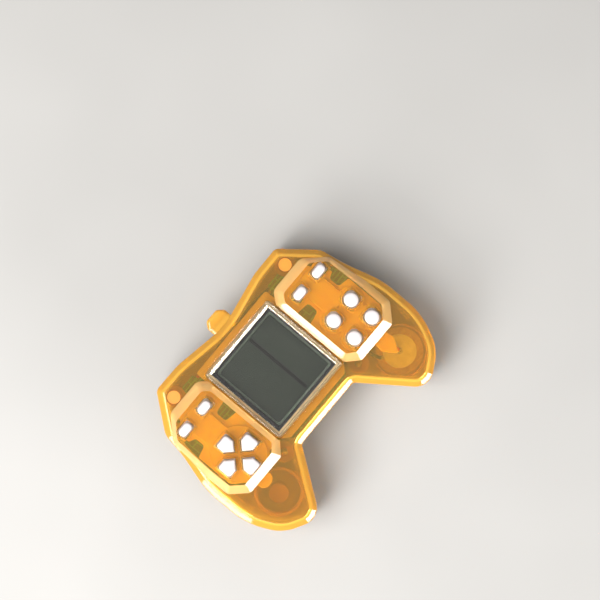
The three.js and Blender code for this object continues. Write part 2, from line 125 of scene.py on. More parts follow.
BOARD_HALF = [
    (9.2, -8.6, 0.4), (10.6, -6.6, 0.4), (14.6, -6.6, 0.4), (15.6, -7.8, 0.4), (23.5, -7.8, 1),
    (27.0, -4.5, 1), (27.0, 2.0, 4), (26.2, 9.5, 2), (22.4, 15.4, 1), (17.4, 15.4, 0.4),
    (16.9, 18.2, 0.4), (13.2, 18.2, 0.4), (12.8, 16.6, 0.4),
]
WEB = [
    (12.9, -6.2, 0.8), (15.0, -6.2, 0.4), (16.0, -7.3, 0.4), (23.4, -7.3, 1.2), (26.5, -4.2, 1.2),
    (26.5, 5.2, 0.5), (23.6, 5.8, 0.8), (23.6, 8.4, 0.8), (25.4, 9.2, 0.5), (22.2, 14.9, 1.0),
    (12.9, 14.9, 0.8), (12.9, 9.0, 0.4), (16.2, 8.6, 0.8), (16.2, 5.8, 0.8), (12.9, 5.2, 0.4),
]
LUG_HALF = [(2.95, 19.3, 0.3), (2.95, 22.2, 1.0), (1.7, 23.64, 1.0)]
HOLDER_FLANGE_HALF = [(9.4, -7.9, 0.4), (12.2, -5.2, 0.4), (12.2, 17.8, 0.6)]
PETAL = [(0, 1.3, 0.15), (1.7, 3.0, 0.3), (1.7, 5.15, 0.7), (-1.7, 5.15, 0.7), (-1.7, 3.0, 0.3)]


def mirrored(corners):
    return [(-x, y, radius) for x, y, radius in reversed(corners)]


def both_sides(half):
    return half + mirrored(half)


def rectangle(x, y, width, height, radius):
    w, h = width / 2, height / 2
    return [(x - w, y - h, radius), (x + w, y - h, radius), (x + w, y + h, radius), (x - w, y + h, radius)]


def disc(at, radius):
    return rectangle(at[0], at[1], 2 * radius, 2 * radius, radius * 0.999)


def between(start, end, share):
    """The outline that lies this share of the way from one outline to another."""
    return [tuple(a + (b - a) * share for a, b in zip(p, q)) for p, q in zip(start, end)]


def heading(start, end):
    return (Vector(end[:2]) - Vector(start[:2])).normalized()


def inset(corners, depth):
    """Every side moved inwards by depth, or outwards where depth is negative."""
    moved = []
    for i, (x, y, radius) in enumerate(corners):
        before = heading(corners[i - 1], corners[i])
        after = heading(corners[i], corners[(i + 1) % len(corners)])
        reach = depth / (1 + before.dot(after))
        turn = before.x * after.y - before.y * after.x
        shrunk = max(radius - math.copysign(depth, turn), 0.12)
        moved.append((x - (before.y + after.y) * reach, y + (before.x + after.x) * reach, shrunk))
    return moved


def rounded(corners, arc=ARC):
    """The points of an outline once each of its corners is bevelled round."""
    bm = bmesh.new()
    verts = [bm.verts.new((x, y, 0)) for x, y, _ in corners]
    bm.faces.new(verts)
    for i, vert in enumerate(verts):
        back = heading(corners[i], corners[i - 1])
        on = heading(corners[i], corners[(i + 1) % len(corners)])
        half = math.acos(max(-1.0, min(1.0, back.dot(on)))) / 2
        bmesh.ops.bevel(bm, geom=[vert], offset=corners[i][2] / math.tan(half), offset_type="OFFSET",
                        segments=arc, profile=0.5, affect="VERTICES", material=-1)
    bm.faces.ensure_lookup_table()
    points = [loop.vert.co.copy() for loop in bm.faces[0].loops]
    bm.free()
    x, y, radius = corners[0]
    back = heading(corners[0], corners[-1])
    half = math.acos(max(-1.0, min(1.0, back.dot(heading(corners[0], corners[1]))))) / 2
    first = (Vector((x, y)) + back * radius / math.tan(half)).to_3d()
    start = min(range(len(points)), key=lambda i: (points[i] - first).length)
    return points[start:] + points[:start]


def as_body(bm):
    """Ends a bmesh as a scene object in millimetres, for cutting, joining and finishing."""
    mesh = bpy.data.meshes.new("body")
    bm.to_mesh(mesh)
    bm.free()
    body = bpy.data.objects.new("body", mesh)
    scene.collection.objects.link(body)
    return body


def loft(levels, arc=ARC):
    """A closed solid through outlines, each at its own height: levels are (corners, z)."""
    bm = bmesh.new()
    ring = [bm.verts.new((p.x, p.y, levels[0][1])) for p in rounded(levels[0][0], arc)]
    bm.faces.new(ring)
    for corners, z in levels[1:]:
        edges = [bm.edges.get(pair) for pair in zip(ring, ring[1:] + ring[:1])]
        grown = bmesh.ops.extrude_edge_only(bm, edges=edges)["geom"]
        twins = {vert.co.to_tuple(): vert for vert in grown if isinstance(vert, bmesh.types.BMVert)}
        ring = [twins[vert.co.to_tuple()] for vert in ring]
        for vert, place in zip(ring, rounded(corners, arc)):
            vert.co = (place.x, place.y, z)
    bm.faces.new(ring)
    bmesh.ops.recalc_face_normals(bm, faces=bm.faces)
    return as_body(bm)


def stack(corners, levels, arc=ARC):
    """One outline at each level (z, depth inside it)."""
    return loft([(inset(corners, depth), z) for z, depth in levels], arc)


def plate(corners, bottom, top, edge=0.0, arc=ARC):
    """A flat plate, with its edges eased by the given amount."""
    if not edge:
        return stack(corners, [(bottom, 0), (top, 0)], arc)
    return stack(corners, [(bottom, edge), (bottom + edge * 0.3, edge * 0.3), (bottom + edge, 0),
                           (top - edge, 0), (top - edge * 0.3, edge * 0.3), (top, edge)], arc)


def fillet(z, depth, radius, steps):
    """Levels that round an edge over the top, from a vertical wall at that depth."""
    turns = [math.pi / 2 * i / steps for i in range(steps + 1)]
    return [(z + radius * math.sin(t), depth + radius * (1 - math.cos(t))) for t in turns]


def turned(at, profile, steps=48, along_x=False):
    """A body spun about an upright axis, or one along X, from a profile of (radius, height).

    The profile starts and ends on the axis, or closes on itself.
    """
    bm = bmesh.new()
    verts = [bm.verts.new((radius, 0, z)) for radius, z in profile]
    edges = [bm.edges.new(pair) for pair in zip(verts, verts[1:])]
    bmesh.ops.spin(bm, geom=verts + edges, cent=(0, 0, 0), axis=(0, 0, 1), angle=2 * math.pi,
                   steps=steps, use_merge=True)
    bmesh.ops.remove_doubles(bm, verts=bm.verts, dist=1e-5)
    bmesh.ops.recalc_face_normals(bm, faces=bm.faces)
    if along_x:
        bmesh.ops.rotate(bm, verts=bm.verts, matrix=Matrix.Rotation(math.pi / 2, 3, "Y"))
    bmesh.ops.translate(bm, verts=bm.verts, vec=Vector(at))
    return as_body(bm)


def rod(at, radius, bottom, top):
    return turned((at[0], at[1], 0), [(0, bottom), (radius, bottom), (radius, top), (0, top)], 40)


def tube(at, outer, inner, bottom, top, edge=0.15):
    """An upright ring wall with eased upper edges; its bottom is buried in a floor."""
    return turned((at[0], at[1], 0), [
        (inner, bottom), (outer, bottom), (outer, top - edge), (outer - edge, top),
        (inner + edge, top), (inner, top - edge), (inner, bottom)])


def block(low, high, edge=0.0):
    bm = bmesh.new()
    bmesh.ops.create_cube(bm, size=1)
    size = Vector(high) - Vector(low)
    bmesh.ops.scale(bm, verts=bm.verts, vec=size)
    bmesh.ops.translate(bm, verts=bm.verts, vec=(Vector(low) + Vector(high)) / 2)
    if edge:
        bmesh.ops.bevel(bm, geom=bm.edges, offset=edge, offset_type="OFFSET", segments=3, profile=0.5,
                        affect="EDGES", material=-1)
    return as_body(bm)


def swept(points, radius, quarter=2, smooth=4):
    """A round wire along a smooth curve led by the points; quarter and smooth set how finely it is drawn."""
    curve = bpy.data.curves.new("wire", "CURVE")
    curve.dimensions = "3D"
    spline = curve.splines.new("NURBS")
    spline.points.add(len(points) - 1)
    for point, place in zip(spline.points, points):
        point.co = (*place, 1)
    spline.order_u = 3
    spline.use_endpoint_u = True
    spline.resolution_u = smooth
    curve.bevel_depth = radius
    curve.bevel_resolution = quarter
    curve.use_fill_caps = True
    holder = bpy.data.objects.new("wire", curve)
    scene.collection.objects.link(holder)
    mesh = bpy.data.meshes.new_from_object(holder.evaluated_get(bpy.context.evaluated_depsgraph_get()))
    bpy.data.objects.remove(holder)
    bm = bmesh.new()
    bm.from_mesh(mesh)
    bmesh.ops.remove_doubles(bm, verts=bm.verts, dist=1e-4)
    bmesh.ops.recalc_face_normals(bm, faces=bm.faces)
    return as_body(bm)


def settle(body):
    """Works a body's modifiers into its mesh."""
    bpy.context.view_layer.update()
    seen = body.evaluated_get(bpy.context.evaluated_depsgraph_get())
    mesh = bpy.data.meshes.new_from_object(seen)
    body.modifiers.clear()
    body.data = mesh
    return body


def combine(body, operation, others):
    """Joins the other bodies to this one, or cuts them out of it, and uses them up."""
    for other in others:
        step = body.modifiers.new("step", "BOOLEAN")
        step.operation = operation
        step.solver = "MANIFOLD"
        step.material_mode = "TRANSFER"
        step.object = other
    settle(body)
    for other in others:
        bpy.data.objects.remove(other)
    return body


def join(body, *others):
    return combine(body, "UNION", others)


def cut(body, *others):
    return combine(body, "DIFFERENCE", others)


def together(bodies):
    """Several bodies kept as they are, in one mesh."""
    bm = bmesh.new()
    for body in bodies:
        bm.from_mesh(body.data)
        bpy.data.objects.remove(body)
    return as_body(bm)


def drop_slivers(mesh):
    """Closes up the tiny edges and faces that a boolean leaves where two surfaces graze."""
    bm = bmesh.new()
    bm.from_mesh(mesh)
    bmesh.ops.dissolve_degenerate(bm, edges=bm.edges, dist=SLIVER)
    bm.to_mesh(mesh)
    bm.free()


def finish(name, body, material, follows="case", replaces=()):
    """Names a body, brings it to metres, gives it its finish and its place among the moving parts."""
    body.name = name
    body.data.name = name
    drop_slivers(body.data)
    body.data.transform(Matrix.Scale(MM, 4))
    if not body.data.materials:
        body.data.materials.append(material)
    for i, own in enumerate(body.data.materials):
        if own is None:
            body.data.materials[i] = material
    body.data.shade_smooth()
    body.data.set_sharp_from_angle(angle=math.radians(SHARP_DEG))
    if follows:
        # Flat faces stay optically flat beside their bevels.
        level = body.modifiers.new("level", "WEIGHTED_NORMAL")
        level.keep_sharp = True
        level.weight = 100
        settle(body)
        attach(body, follows)
    if replaces:
        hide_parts(*replaces)
    return body


# ---- Finishes.

def srgb(code):
    """A linear colour from an sRGB hex value."""
    channels = [int(code[i:i + 2], 16) / 255 for i in (1, 3, 5)]
    return (*[c / 12.92 if c <= 0.04045 else ((c + 0.055) / 1.055) ** 2.4 for c in channels], 1.0)


def node(tree, kind, settings=()):
    """Adds a shader node; each setting is a linked socket, an input's value or a property."""
    made = tree.nodes.new("ShaderNode" + kind)
    for name, value in dict(settings).items():
        if isinstance(value, bpy.types.NodeSocket):
            tree.links.new(value, made.inputs[name])
        elif isinstance(name, int) or name in made.inputs:
            made.inputs[name].default_value = value
        else:
            setattr(made, name, value)
    return made


def begin(name):
    """A new material: its node tree and the object coordinates, in metres."""
    made = bpy.data.materials.new(name)
    made.use_nodes = True
    made.node_tree.nodes.clear()
    return made, made.node_tree, node(made.node_tree, "TexCoord").outputs["Object"]


def patches(tree, place, size_mm, low=0.35, high=0.65, detail=2.0, stretch=(1, 1, 1)):
    """Soft blotches of about this size, from 0 to 1."""
    turned_place = node(tree, "Mapping", {"Vector": place, "Scale": stretch}).outputs[0]
    noise = node(tree, "TexNoise", {"Vector": turned_place, "Scale": 1 / (size_mm * MM), "Detail": detail})
    return node(tree, "MapRange", {"Value": noise.outputs[0], "From Min": low, "From Max": high}).outputs[0]


def mixed(tree, share, first, second):
    """One colour over another by a share; each is a hex value or a socket."""
    ends = [srgb(c) if isinstance(c, str) else c for c in (first, second)]
    return node(tree, "Mix", {"data_type": "RGBA", 0: share, 6: ends[0], 7: ends[1]}).outputs[2]


def reckon(tree, operation, *values):
    """A sum, product or test of sockets and numbers."""
    return node(tree, "Math", {"operation": operation, **dict(enumerate(values))}).outputs[0]


def relief(tree, height, depth_mm):
    return node(tree, "Bump", {"Height": height, "Distance": depth_mm * MM, "Strength": 1.0}).outputs[0]


def surfaced(made, tree, settings):
    shader = node(tree, "BsdfPrincipled", settings)
    node(tree, "OutputMaterial", {"Surface": shader.outputs[0]})
    return made


def plain(name, light, dark, patch_mm, grain_mm, depth_mm, rough, spread=0.08, stretch=(1, 1, 1), shader=()):
    """A finish of one stuff: two close shades in patches, a fine grain in relief and in its gloss."""
    made, tree, place = begin(name)
    shade = mixed(tree, patches(tree, place, patch_mm, 0.3, 0.7, 4.0, stretch), dark, light)
    grain = patches(tree, place, grain_mm, 0.3, 0.7, 2.0, stretch)
    gloss = node(tree, "MapRange", {
        "Value": grain, "To Min": rough - spread / 2, "To Max": rough + spread / 2})
    return surfaced(made, tree, {
        "Base Color": shade, "Roughness": gloss.outputs[0], "Normal": relief(tree, grain, depth_mm),
        **dict(shader)})


def clear_plastic(name, code, rough, ior, clear, wave_mm, depth_mm):
    """Polished clear moulding: light goes through it, a little haze stays, and the melt left faint waves."""
    made, tree, place = begin(name)
    waves = patches(tree, place, wave_mm, 0.2, 0.8, 1.0)
    return surfaced(made, tree, {
        "Base Color": srgb(code), "Roughness": rough, "IOR": ior, "Transmission Weight": clear,
        "Normal": relief(tree, waves, depth_mm)})


# Clear orange ABS, polished in the mould: a light amber wall that deepens where walls lie behind each other.
CLEAR_ORANGE = clear_plastic("clear_orange_abs_moulded", "#ffd060", 0.02, 1.5, 0.93, 6.0, 0.012)
# The same plastic, lighter and less clear, put on chosen faces as a painted glow for the light it gathers
# along its wall.
EDGE_PAINTED_GLOW_ORANGE = clear_plastic("clear_orange_abs_wall_painted_glow", "#ffb63c", 0.08, 1.5, 0.62, 6.0, 0.01)
# The thinner sloping walls of the raised panels: a lighter, milkier copy of the plastic, a painted glow on
# those slopes.
PANEL_PAINTED_GLOW_ORANGE = clear_plastic("clear_orange_abs_thin_wall_painted_glow", "#ffc878", 0.1, 1.5, 0.56, 6.0, 0.006)
# Spark-eroded discs over the upper screw posts: a matt face, coloured saturated orange as a painted glow for
# the light that runs up the post.
SPARKED_PAINTED_GLOW_ORANGE = clear_plastic("clear_orange_abs_sparked_painted_glow", "#ff9800", 0.45, 1.5, 0.4, 0.3, 0.006)
# Colourless acrylic, polished: sharp reflections on its raised rim.
CLEAR_ACRYLIC = clear_plastic("clear_acrylic_polished", "#fbfaf6", 0.02, 1.49, 1.0, 7.0, 0.004)
# Soda-lime display glass with an ITO coat: a faint green edge.
DISPLAY_GLASS = clear_plastic("display_glass_cut", "#dfe9dc", 0.03, 1.52, 0.9, 9.0, 0.002)
# Silicone rubber, satin with a powdery bloom: yellow in itself, and orange only under the clear cover.
SILICONE = plain("orange_silicone_moulded", "#ffdc20", "#ffd214", 2.5, 0.12, 0.004, 0.5, 0.12,
                 shader={"Subsurface Weight": 0.2, "Subsurface Radius": (0.0012, 0.0005, 0.0001),
                         "Subsurface Scale": 1.0})
# White ABS keys with satin tops, a shade down so that they don't burn out.
KEY_WHITE = plain("white_abs_satin", "#cbc2c2", "#c4bbbb", 3.0, 0.09, 0.003, 0.35, 0.1,
                  shader={"Subsurface Weight": 0.1, "Subsurface Radius": (0.0006, 0.0005, 0.0004),
                          "Subsurface Scale": 1.0})
# Black foam-backed gasket: matt, finely pitted.
GASKET_BLACK = plain("black_foam_die_cut", "#1d1b20", "#100f12", 0.8, 0.15, 0.02, 0.8)
# Nylon frame: a warm straw shade, faintly mottled by the mould.
NYLON = plain("natural_nylon_moulded", "#cdb487", "#bfa26e", 3.0, 0.2, 0.006, 0.45,
              shader={"Subsurface Weight": 0.15, "Subsurface Radius": (0.001, 0.0008, 0.0005),
                      "Subsurface Scale": 1.0})
# Aluminised reflector film: soft silver with rolling lines.
SILVER_FILM = plain("aluminised_film_rolled", "#d8dad4", "#b9bcb6", 2.0, 0.1, 0.002, 0.3, 0.1, (1, 12, 1),
                    {"Metallic": 0.9})
# Poured epoxy: black, wet-looking, with slow ripples.
EPOXY = plain("black_epoxy_poured", "#17171a", "#0b0b0c", 2.0, 1.2, 0.06, 0.16, 0.06)
# Rolled brass sheet with fine rolling scratches and a little tarnish.
BRASS = plain("brass_sheet_rolled", "#d9ae55", "#b98a34", 2.2, 0.1, 0.003, 0.3, 0.14, (1, 10, 1),
              {"Metallic": 1.0})
# Fired piezo ceramic with a screened silver coat.
CERAMIC = plain("silvered_ceramic_fired", "#e9e5db", "#d5d0c4", 1.5, 0.12, 0.006, 0.45)
# Nickel-plated steel can, drawn and tumbled.
NICKEL = plain("nickel_plate_drawn", "#d6d7d3", "#bfc1be", 2.5, 0.08, 0.002, 0.22, 0.1, (1, 1, 9),
               {"Metallic": 1.0})
# Tinned spring strip, stamped from rolled stock.
SPRING = plain("tinned_steel_stamped", "#c9ccd0", "#a9adb2", 1.8, 0.08, 0.003, 0.3, 0.14, (9, 1, 1),
               {"Metallic": 1.0})
# Zinc-plated screws: bright with a faint blue passivation.
ZINC = plain("zinc_plate_bright", "#c8ced6", "#a4aab4", 0.9, 0.06, 0.002, 0.28, 0.12,
             shader={"Metallic": 1.0})
# Solder: bright, slightly frosted where it froze.
SOLDER = plain("solder_reflowed", "#d3d5d6", "#a8abad", 0.5, 0.1, 0.006, 0.26, 0.16,
               shader={"Metallic": 1.0})
# PVC sleeves on stranded wire.
RED_SLEEVE = plain("red_pvc_extruded", "#c9281e", "#a81c15", 1.6, 0.08, 0.002, 0.38)
BLACK_SLEEVE = plain("black_pvc_extruded", "#26262a", "#151517", 1.6, 0.08, 0.002, 0.38)


def box_mask(tree, place, low, high):
    """1 inside a flat rectangle of the given corners in millimetres, and 0 outside."""
    axes = node(tree, "SeparateXYZ", {0: place}).outputs
    tests = [reckon(tree, operation, axes[axis], value * MM)
             for axis in (0, 1)
             for operation, value in (("GREATER_THAN", low[axis]), ("LESS_THAN", high[axis]))]
    inside = tests[0]
    for test in tests[1:]:
        inside = reckon(tree, "MULTIPLY", inside, test)
    return inside


def polariser_film():
    """Grey-green polariser with the dark dividing line and the faint idle cells of a blank display."""
    made, tree, place = begin("polariser_film_laminated")
    shade = mixed(tree, patches(tree, place, 6.0, 0.3, 0.7, 3.0), "#2b312a", "#313730")
    pitch = 0.86
    half_cell = 0.41  # as a share of the pitch
    field_low, field_high = (-8.3, -3.6), (0.3, 13.6)
    divider_low, divider_high = (1.12, -3.2), (1.88, 13.4)
    first_cell = (-field_low[0] * MM, -field_low[1] * MM, 0)
    cells = node(tree, "Mapping", {"Vector": place, "Location": first_cell}).outputs[0]
    axes = node(tree, "SeparateXYZ", {0: cells}).outputs
    lit = None
    for axis in (0, 1):
        along = reckon(tree, "FRACT", reckon(tree, "DIVIDE", axes[axis], pitch * MM))
        centred = reckon(tree, "ABSOLUTE", reckon(tree, "SUBTRACT", along, 0.5))
        inside = reckon(tree, "LESS_THAN", centred, half_cell)
        lit = inside if lit is None else reckon(tree, "MULTIPLY", lit, inside)
    field = box_mask(tree, place, field_low, field_high)
    ghost = reckon(tree, "MULTIPLY", reckon(tree, "MULTIPLY", lit, field), 0.16)
    shade = mixed(tree, ghost, shade, "#2b302b")
    shade = mixed(tree, box_mask(tree, place, divider_low, divider_high), shade, "#070907")
    grain = patches(tree, place, 0.08)
    return surfaced(made, tree, {"Base Color": shade, "Roughness": 0.5, "Normal": relief(tree, grain, 0.001),
                                 "Specular IOR Level": 0.15})


def zebra_rubber():
    """Silicone strip in thin conducting and insulating layers, drawn at 0.35 mm so that they show."""
    made, tree, place = begin("layered_silicone_sliced")
    across = node(tree, "SeparateXYZ", {0: place}).outputs[0]
    layers = reckon(tree, "DIVIDE", across, 0.35 * MM)
    layer = reckon(tree, "GREATER_THAN", reckon(tree, "FRACT", layers), 0.5)
    grain = patches(tree, place, 0.12)
    return surfaced(made, tree, {"Base Color": mixed(tree, layer, "#e6dfd2", "#2a2a2d"), "Roughness": 0.7,
                                 "Normal": relief(tree, grain, 0.01)})


def solder_mask():
    """Green solder mask over etched tracks, with the weave of the glass cloth faintly under it."""
    made, tree, place = begin("solder_mask_over_fibreglass")
    tracks = node(tree, "TexBrick", {
        "Vector": place, "Scale": 1 / MM, "Mortar Size": 0.13, "Mortar Smooth": 0.1, "Brick Width": 3.4,
        "Row Height": 0.95, "offset": 0.37, "offset_frequency": 3}).outputs["Fac"]
    runs = node(tree, "TexBrick", {
        "Vector": node(tree, "Mapping", {"Vector": place, "Rotation": (0, 0, math.pi / 2)}).outputs[0],
        "Scale": 1 / MM, "Mortar Size": 0.12, "Mortar Smooth": 0.1, "Brick Width": 5.1,
        "Row Height": 1.6}).outputs["Fac"]
    routed = patches(tree, place, 7.0, 0.48, 0.5, 0.0)
    copper = reckon(tree, "ADD", reckon(tree, "MULTIPLY", tracks, routed),
                    reckon(tree, "MULTIPLY", runs, reckon(tree, "SUBTRACT", 1.0, routed)))
    weave = node(tree, "TexWave", {"Vector": place, "Scale": 1 / (0.6 * MM), "Distortion": 0.4}).outputs[1]
    bare = mixed(tree, reckon(tree, "MULTIPLY", weave, 0.3), "#17532f", "#226b3d")
    shade = mixed(tree, copper, bare, "#3c8f52")
    return surfaced(made, tree, {"Base Color": shade, "Roughness": 0.3, "Normal": relief(tree, copper, 0.03),
                                 "Coat Weight": 0.4, "Coat Roughness": 0.15})


def capacitor_sleeve():
    """Shrink sleeve with the pale stripe that marks the negative side."""
    made, tree, place = begin("pvc_sleeve_shrunk")
    axes = node(tree, "SeparateXYZ", {0: place}).outputs
    half_stripe, half_dash = 0.42, 0.1  # radians round the can
    angle = reckon(tree, "ARCTAN2", reckon(tree, "SUBTRACT", axes[1], CAPACITOR_AT[1] * MM),
                   reckon(tree, "SUBTRACT", CAPACITOR_AT[2] * MM, axes[2]))
    stripe = reckon(tree, "LESS_THAN", reckon(tree, "ABSOLUTE", angle), half_stripe)
    along = reckon(tree, "FRACT", reckon(tree, "DIVIDE", axes[0], 1.3 * MM))
    dashes = reckon(tree, "LESS_THAN", along, 0.5)
    middle = reckon(tree, "LESS_THAN", reckon(tree, "ABSOLUTE", angle), half_dash)
    shade = mixed(tree, stripe, "#1c2a5a", "#b9c4dc")
    shade = mixed(tree, reckon(tree, "MULTIPLY", dashes, middle), shade, "#1c2a5a")
    return surfaced(made, tree, {"Base Color": shade, "Roughness": 0.35,
                                 "Normal": relief(tree, patches(tree, place, 0.4), 0.01)})


def resistor_paint():
    """Lacquered body with four colour rings."""
    made, tree, place = begin("lacquered_ceramic_banded")
    along = node(tree, "SeparateXYZ", {0: place}).outputs[0]
    shade = mixed(tree, patches(tree, place, 0.6), "#d9bd8a", "#cdae78")
    for offset, code in ((-1.06, "#6b3a1c"), (-0.46, "#15120f"), (0.14, "#c2321f"), (1.14, "#c79b3a")):
        ring = reckon(tree, "COMPARE", along, (RESISTOR_AT[0] + offset) * MM, 0.15 * MM)
        shade = mixed(tree, ring, shade, code)
    return surfaced(made, tree, {"Base Color": shade, "Roughness": 0.35,
                                 "Normal": relief(tree, patches(tree, place, 0.2), 0.006)})


POLARISER = polariser_film()
ZEBRA = zebra_rubber()
BOARD_GREEN = solder_mask()
CAP_SLEEVE = capacitor_sleeve()
RESISTOR_PAINT = resistor_paint()


# ---- Case.

CASE = both_sides(CASE_HALF)
OPENING = rectangle(*LENS, 22.4, 22.4, 0.9)
DOOR = rectangle(*DISPLAY, 26.6, 17.8, 1.6)
POCKET = rectangle(0, CELL_Y, 24.6, 12.2, 3)


def petal(quarter):
    """A direction key: square outside, pointed towards the middle of its cluster."""
    turn = Matrix.Rotation(quarter * math.pi / 2, 2)
    corners = []
    for x, y, radius in PETAL:
        place = turn @ Vector((x, y))
        corners.append((place.x - PAD_X, place.y + PAD_Y, radius))
    return corners


def pill(x):
    return rectangle(x, PILL_Y, 3.4, 2.0, 0.95)


def round_key(column, row):
    return disc((PAD_X + column * ROUND_KEY_STEP, PAD_Y + row * ROUND_KEY_STEP), ROUND_KEY_RADIUS)


KEYS = {
    "up_key": petal(0), "left_key": petal(1), "down_key": petal(2), "right_key": petal(3),
    "round_key_upper_left": round_key(-1, 1), "round_key_upper_right": round_key(1, 1),
    "round_key_lower_left": round_key(-1, -1), "round_key_lower_right": round_key(1, -1),
    "left_pill_key_outer": pill(-PAD_X - PILL_KEY_STEP), "left_pill_key_inner": pill(-PAD_X + PILL_KEY_STEP),
    "right_pill_key_inner": pill(PAD_X - PILL_KEY_STEP), "right_pill_key_outer": pill(PAD_X + PILL_KEY_STEP),
}

# A panel's side by the screen: the share of the rise, and how far that side has leaned back by then.
CLIMB = ((0, 0), (0.1, 0.02), (0.35, 0.06), (0.45, 0.08), (0.7, 0.55), (0.92, 0.96), (1, 1))
SCREEN_CORNERS = (7, 8)  # the corners of a panel's outline that face the screen

# Upward slopes of the faces that get the painted glow.
EVERY_SLOPE = (-2, 2)
TOP_ONLY = (0.5, 1.1)


def panel(side):
    """A raised key panel: its side by the screen climbs steeply, then lies back in a broad flat band."""
    rise = PANEL_Z - DECK_Z
    levels = []
    for run, lean in CLIMB:
        corners = between(PANEL_FOOT, PANEL_TOP, run)
        for i in SCREEN_CORNERS:
            x = PANEL_FOOT[i][0] + (PANEL_TOP[i][0] - PANEL_FOOT[i][0]) * lean
            corners[i] = (x, *corners[i][1:])
        levels.append((corners if side > 0 else mirrored(corners), DECK_Z + rise * run))
    # The panel's sloping faces get the lighter panel orange, a painted glow.
    return with_painted_glow(loft([(levels[0][0], CEILING_Z + 0.4), *levels]), 0.1, 0.98, PANEL_PAINTED_GLOW_ORANGE)


def panel_hollow(foot, top):
    """The space under a raised panel, which leaves its walls about a millimetre thick."""
    under = inset(foot, 1.0)
    return loft([(under, CEILING_Z - 0.4), (under, CEILING_Z + 0.2), (inset(top, -0.45), PANEL_CEILING_Z)])


def with_painted_glow(body, low, high, glow=EDGE_PAINTED_GLOW_ORANGE):
    """Gives a body the clear plastic, with a painted glow (a lighter orange) on the faces whose upward slope
    is between low and high.
    """
    body.data.materials.append(CLEAR_ORANGE)
    body.data.materials.append(glow)
    for face in body.data.polygons:
        face.material_index = int(low < face.normal.z < high)
    return body


def front_cover():
    """Front shell: skin, key panels and lug, hollowed, then its openings, screw posts and lug hole."""
    feet = [(PANEL_FOOT, PANEL_TOP), (mirrored(PANEL_FOOT), mirrored(PANEL_TOP))]
    skin = stack(CASE, [(FRONT_RIM_Z, 0.1), (FRONT_RIM_Z + 0.1, 0), (11.4, 0.05), (11.6, 0.12), (11.75, 0.27),
                        (12.5, 1.15), (12.66, 1.38), (12.76, 1.6), (DECK_Z, 1.8)])
    # The skin's sloping rim faces get the painted glow.
    with_painted_glow(skin, 0.1, 0.995)
    hollow = stack(CASE, [(6.0, 1.5), *fillet(10.6, 1.5, 0.8, 3)])
    lug = stack(both_sides(LUG_HALF), [(FRONT_RIM_Z, 0.1), (FRONT_RIM_Z + 0.1, 0), *fillet(10.8, 0, 0.8, 4)])
    # The lug's top and rounded edge get the painted glow.
    with_painted_glow(lug, 0.1, 1.1)
    body = join(skin, panel(1), panel(-1), lug)
    cut(body, hollow, *[panel_hollow(foot, top) for foot, top in feet])
    cut(body, stack(OPENING, [(6.0, 0), (12.55, 0), (12.65, -0.05), (12.85, -0.3), (16, -0.3)]))
    cut(body, *[stack(shape, [(11.0, -0.25), (14.3, -0.25), (14.45, -0.3), (14.65, -0.5), (16, -0.5)], 4)
                for shape in KEYS.values()])
    posts = [cut(rod(at, POST_RADIUS, FRONT_RIM_Z, CEILING_Z + 0.3), rod(at, PILOT_RADIUS, 6.0, 10.6))
             for at in CASE_SCREWS.values()]
    # Every face of the screw posts gets the painted glow.
    join(body, *[with_painted_glow(post, *EVERY_SLOPE) for post in posts],
         rod(LOCATING_POST, LOCATING_RADIUS, FRONT_RIM_Z, CEILING_Z + 0.3))
    for name, at in CASE_SCREWS.items():
        if "top" in name:
            # Each disc gets the sparked orange, a painted glow over the post.
            recess = rod(at, SPARKED_RADIUS, DECK_Z - SPARKED_DEPTH, DECK_Z + 1)
            recess.data.materials.append(SPARKED_PAINTED_GLOW_ORANGE)
            cut(body, recess)
    lug_hole = turned((0, 21.95, 9.3), [
        (0, -4), (1.25, -4), (1.25, -2.95), (0.9, -2.6),
        (0.9, 2.6), (1.25, 2.95), (1.25, 4), (0, 4)], along_x=True)
    return cut(body, lug_hole)


